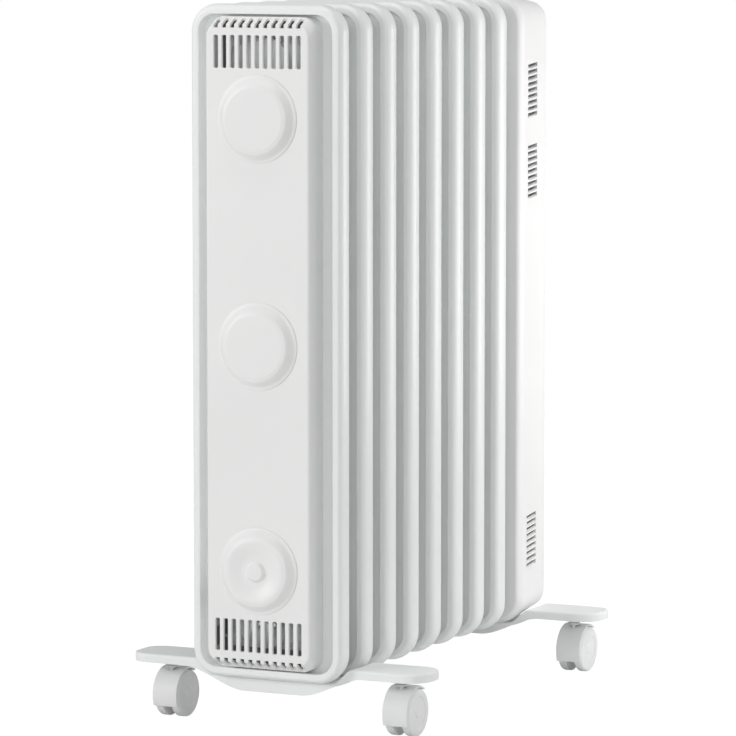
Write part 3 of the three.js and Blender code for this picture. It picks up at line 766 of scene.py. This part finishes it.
def make_foot(end):
    depth = FOOT_DEPTHS[end]
    piece = make_mesh(f"{end}_foot_channel", *skin(moved(foot_loops(0, 0, FOOT_ROUNDING), depth)))
    carve(piece, *skin(moved(foot_loops(FOOT_SHEET, 20, FOOT_ROUNDING - 1), depth)))
    shade(piece)
    stand_for(piece, f"{end}_bracket")


for end in FOOT_DEPTHS:
    make_foot(end)


# ---- Casters ----------------------------------------------------------------------------------------

def hood_section():
    """The section of the hood's shell as (across, out) points, with eased edges."""
    half = CASTER_WIDTH / 2
    points = [(-half, HOOD_RADIUS - HOOD_SHEET), (-half, HOOD_RADIUS - 1)]
    points += arc((-half + 1, HOOD_RADIUS - 1), 1, 180, 90, 4)[1:]
    points += arc((half - 1, HOOD_RADIUS - 1), 1, 90, 0, 4)
    points.append((half, HOOD_RADIUS - HOOD_SHEET))
    return points


def make_hood(name, x, depth):
    """The hood over both wheels, and the web between them that holds the axle."""
    centre = depth + CASTER_TRAIL
    loops = []
    for step in range(33):
        angle = math.radians(blend(204, 58, step / 32))
        loop = []
        for across, out in hood_section():
            loop.append((x + across, centre + out * math.cos(angle), WHEEL_RADIUS + out * math.sin(angle)))
        loops.append(loop)
    web = [(centre + a, WHEEL_RADIUS + b) for a, b in arc((0, 0), HOOD_RADIUS - 1, 204, 58, 24)]
    web += [(centre + 6, WHEEL_RADIUS - 5), (centre - 6, WHEEL_RADIUS - 5)]
    sides = [[(x + across, a, b) for a, b in web] for across in (-CASTER_WEB / 2, CASTER_WEB / 2)]
    piece = make_mesh(f"{name}_fork", *merged(skin(loops), skin(sides)))
    shade(piece)
    stand_for(piece, f"{name}_hood")


def wheel_profile():
    """(radius, outwards) points of a wheel, from its inner face to the middle of its outer face."""
    inner = CASTER_WEB / 2 + GAP
    outer = CASTER_WIDTH / 2
    points = [(2.3, inner), (WHEEL_RADIUS - 1, inner)]
    points += arc((WHEEL_RADIUS - 1, inner + 1), 1, -90, 0, 3)
    points += arc((WHEEL_RADIUS - 2, outer - 2), 2, 0, 90, 5)
    points += [(15.5, outer), (14.6, outer - 0.3), (14, outer - 0.9), (13, outer - 1)]
    points += [(5, outer - 1), (4.6, outer - 0.6), (4, outer - 0.4), (0, outer - 0.4)]
    return points


def make_wheel(name, x, depth, sign):
    side = "right" if sign > 0 else "left"
    shape = turned_about_side(wheel_profile(), 64, x, depth + CASTER_TRAIL, WHEEL_RADIUS, sign)
    piece = make_mesh(f"{name}_{side}_tyre", *shape)
    shade(piece)
    stand_for(piece, f"{name}_{side}_wheel")


def make_stem(name, x, depth):
    """The upright pin a caster swivels on, with its collar."""
    collar = WHEEL_RADIUS + HOOD_RADIUS + GAP
    profile = [(0, 28.3), (2, 28.3), (2.4, 28.7), (2.4, collar), (5.6, collar), (6, collar + 0.4)]
    profile += [(6, collar + 1.8), (5.6, collar + 2.2), (4, collar + 2.3), (3.6, collar + 2.7)]
    profile += [(3.6, STEM_TOP), (0, STEM_TOP)]
    piece = make_mesh(f"{name}_pin", *turned_about_height(profile, 40, x, depth))
    shade(piece)
    stand_for(piece, f"{name}_stem")


for end, depth in FOOT_DEPTHS.items():
    for side, x in (("left", -CASTER_REACH), ("right", CASTER_REACH)):
        name = f"{end}_{side}_caster"
        make_hood(name, x, depth)
        make_stem(name, x, depth)
        make_wheel(name, x, depth, -1)
        make_wheel(name, x, depth, 1)


# ---- Fixings ----------------------------------------------------------------------------------------

def wire_radius(height):
    """The wire's radius, with turns of thread near its ends."""
    if height > U_BOLT_FOOT + U_BOLT_THREAD:
        return U_BOLT_WIRE
    return U_BOLT_WIRE - 0.18 * (1 + math.cos(height / 0.8 * 2 * math.pi)) / 2


def make_u_bolt(end):
    """A wire bent over the lower gallery, as loops along (x, height, turn in degrees, radius)."""
    depth = FOOT_DEPTHS[end] + U_BOLT_BEHIND
    path = []
    for step in range(97):
        height = U_BOLT_FOOT + step / 5
        path.append((-U_BOLT_SPREAD, height, 180, wire_radius(height)))
    for step in range(33):
        angle = math.radians(blend(180, 0, step / 32))
        x = U_BOLT_SPREAD * math.cos(angle)
        height = GALLERY["lower"] + U_BOLT_SPREAD * math.sin(angle)
        path.append((x, height, math.degrees(angle), U_BOLT_WIRE))
    path += [(-x, height, 0, radius) for x, height, turn, radius in path[96::-1]]
    loops = []
    for x, height, turn, radius in path:
        out = (math.cos(math.radians(turn)), math.sin(math.radians(turn)))
        loop = []
        for side in range(16):
            angle = side / 16 * 2 * math.pi
            reach = radius * math.cos(angle)
            loop.append((x + reach * out[0], depth + radius * math.sin(angle), height + reach * out[1]))
        loops.append(loop)
    piece = make_mesh(f"{end}_bow", *skin(loops))
    shade(piece, 50)
    stand_for(piece, f"{end}_u_bolt")


def wing(x, depth, sign):
    """One rounded ear of a wing nut, thinner at its edge."""
    top = WING_NUT_TOP
    loops = []
    for across, shrink in ((-1.2, 0.8), (-0.9, 0), (0.9, 0), (1.2, 0.8)):
        loop = [(x + across, depth + sign * 3, top - 6.8), (x + across, depth + sign * 3, top - 1.5)]
        for a, b in oval((7.4, top - 6.4), (3.5 - shrink, 3.6 - shrink), 100, -100, 14):
            loop.append((x + across, depth + sign * a, b))
        loops.append(loop)
    return skin(loops)


def make_wing_nut(end, side, sign):
    x = sign * U_BOLT_SPREAD
    depth = FOOT_DEPTHS[end] + U_BOLT_BEHIND
    top = WING_NUT_TOP
    profile = [(2.3, top - 7), (3.8, top - 7), (4.2, top - 6.6), (5, top - 0.6), (4.6, top), (2.3, top)]
    hub = turned_about_height(profile, 40, x, depth, is_ring=True)
    piece = make_mesh(f"{end}_{side}_nut", *merged(hub, wing(x, depth, -1), wing(x, depth, 1)))
    shade(piece)
    stand_for(piece, f"{end}_{side}_wing_nut")


for end in FOOT_DEPTHS:
    make_u_bolt(end)
    make_wing_nut(end, "left", -1)
    make_wing_nut(end, "right", 1)


def make_cord_bushing():
    """A collar round the cord's hole in the housing's left side."""
    wall = HOUSING["width"] / 2
    profile = [(3.6, wall - 5), (4.7, wall - 5), (4.7, wall + GAP), (7, wall + GAP), (7.2, wall + 0.8)]
    profile += [(radius, wall + 0.8 + out) for radius, out in oval((5.4, 0), (1.8, 1.8), 0, 90, 6)[1:]]
    profile += [(4.2, wall + 2.6), (3.6, wall + 2.1)]
    ring = turned_about_side(profile, 48, 0, -2, 118, -1, is_ring=True)
    piece = make_mesh("cord_bushing_collar", *ring)
    shade(piece)
    stand_for(piece, "cord_bushing")


def make_housing_screw():
    """A pan head screw with a cross recess, in the housing's left side."""
    wall = HOUSING["width"] / 2
    profile = [(0, wall - 12.5), (1.6, wall - 11), (1.6, wall + GAP), (3.6, wall + GAP), (3.6, wall + 1)]
    profile += [(radius, wall + out) for radius, out in oval((2.2, 1), (1.4, 1.4), 0, 90, 5)[1:]]
    profile.append((0, wall + 2.4))
    piece = make_mesh("housing_screw_head", *turned_about_side(profile, 40, 0, 2, 86, -1))
    recess = (-wall - 3, -wall - 1.1)
    carve(piece, *block(recess, (1.6, 2.4), (84.2, 87.8)))
    carve(piece, *block(recess, (0.2, 3.8), (85.6, 86.4)))
    shade(piece)
    stand_for(piece, "housing_screw")


def make_cover_screw():
    """The same screw at the bottom of the rear cover's recess."""
    floor = COVER_SCREW_FLOOR
    profile = [(0, END_WEB - 5), (1.6, END_WEB - 4), (1.6, floor + GAP), (4, floor + GAP), (4, floor + 1.2)]
    profile += [(radius, floor + out) for radius, out in oval((2.4, 1.2), (1.6, 1.6), 0, 90, 5)[1:]]
    profile.append((0, floor + 2.8))
    piece = make_mesh("rear_cover_screw_head", *turned_about_depth(profile, 40, 0, COVER_SCREW_HEIGHT))
    recess = (floor + 1.4, floor + 4)
    middle = COVER_SCREW_HEIGHT
    carve(piece, *block((-0.4, 0.4), recess, (middle - 1.9, middle + 1.9)))
    carve(piece, *block((-1.9, 1.9), recess, (middle - 0.4, middle + 0.4)))
    shade(piece)
    stand_for(piece, "rear_cover_screw")


make_cord_bushing()
make_housing_screw()
make_cover_screw()


# ---- Floor, light and camera ------------------------------------------------------------------------

def seen_or_lighting(tree, seen, lighting, output):
    """The camera sees one shader, and everything else is lit by the other."""
    path = tree.nodes.new("ShaderNodeLightPath")
    mix = tree.nodes.new("ShaderNodeMixShader")
    tree.links.new(path.outputs["Is Camera Ray"], mix.inputs[0])
    tree.links.new(lighting.outputs[0], mix.inputs[1])
    tree.links.new(seen.outputs[0], mix.inputs[2])
    tree.links.new(mix.outputs[0], output.inputs["Surface"])


def make_floor():
    """A floor that the camera sees as near white, with only a breath of shadow on it."""
    corners = [(-9000, -9000, 0), (9000, -9000, 0), (9000, 9000, 0), (-9000, 9000, 0)]
    floor = make_mesh("studio_floor", corners, [(0, 1, 2, 3)])
    made = bpy.data.materials.new("floor_white")
    made.use_nodes = True
    nodes = made.node_tree.nodes
    seen = nodes["Principled BSDF"]
    seen.inputs["Base Color"].default_value = (0.15, 0.15, 0.15, 1)
    seen.inputs["Roughness"].default_value = 1.0
    seen.inputs["Specular IOR Level"].default_value = 0.0
    seen.inputs["Emission Color"].default_value = (1, 1, 1, 1)
    seen.inputs["Emission Strength"].default_value = 0.96
    lighting = nodes.new("ShaderNodeBsdfDiffuse")
    lighting.inputs["Color"].default_value = (0.85, 0.85, 0.85, 1)
    seen_or_lighting(made.node_tree, seen, lighting, nodes["Material Output"])
    floor.data.materials.append(made)


def make_world():
    world = bpy.data.worlds.new("studio")
    bpy.context.scene.world = world
    world.use_nodes = True
    nodes = world.node_tree.nodes
    seen = nodes["Background"]
    seen.inputs["Color"].default_value = (1, 1, 1, 1)
    seen.inputs["Strength"].default_value = 1.0
    lighting = nodes.new("ShaderNodeBackground")
    lighting.inputs["Color"].default_value = (1, 1, 1, 1)
    lighting.inputs["Strength"].default_value = 0.34
    seen_or_lighting(world.node_tree, seen, lighting, nodes["World Output"])


def area_light(name, place, aim, size, power):
    """A square softbox. place and aim are (x, depth, height) in millimetres, size in metres."""
    data = bpy.data.lights.new(name, "AREA")
    data.size = size
    data.energy = power
    lamp = bpy.data.objects.new(name, data)
    lamp.location = to_frame(place)
    direction = Vector(to_frame(aim)) - Vector(to_frame(place))
    lamp.rotation_mode = "QUATERNION"
    lamp.rotation_quaternion = direction.to_track_quat("-Z", "Y")
    bpy.context.scene.collection.objects.link(lamp)


def make_lights():
    area_light("left_key", (-3200, -3200, 1500), (0, 0, 350), 1.4, 72)
    area_light("front_softbox", (1700, -3700, 1100), (75, 200, 350), 1.0, 24)
    area_light("top_softbox", (200, -100, 2800), (60, 150, 60), 1.4, 18)
    area_light("right_softbox", (2600, 500, 600), (75, 300, 350), 1.2, 4)
    area_light("rear_side_softbox", (520, 680, 450), (75, 400, 350), 0.5, 2.2)


def make_camera():
    data = bpy.data.cameras.new("camera")
    data.lens = CAMERA_LENS
    data.sensor_width = 36
    data.clip_end = 100
    camera = bpy.data.objects.new("camera", data)
    azimuth = math.radians(CAMERA_AZIMUTH)
    tilt = math.radians(CAMERA_TILT)
    back = Vector((math.sin(azimuth) * math.cos(tilt), -math.cos(azimuth) * math.cos(tilt), math.sin(tilt)))
    camera.location = to_frame(CAMERA_PLACE)
    camera.rotation_mode = "QUATERNION"
    camera.rotation_quaternion = (-back).to_track_quat("-Z", "Y")
    bpy.context.scene.collection.objects.link(camera)
    bpy.context.scene.camera = camera


make_camera()
make_floor()
make_world()
make_lights()
bpy.context.scene.view_settings.view_transform = "Standard"
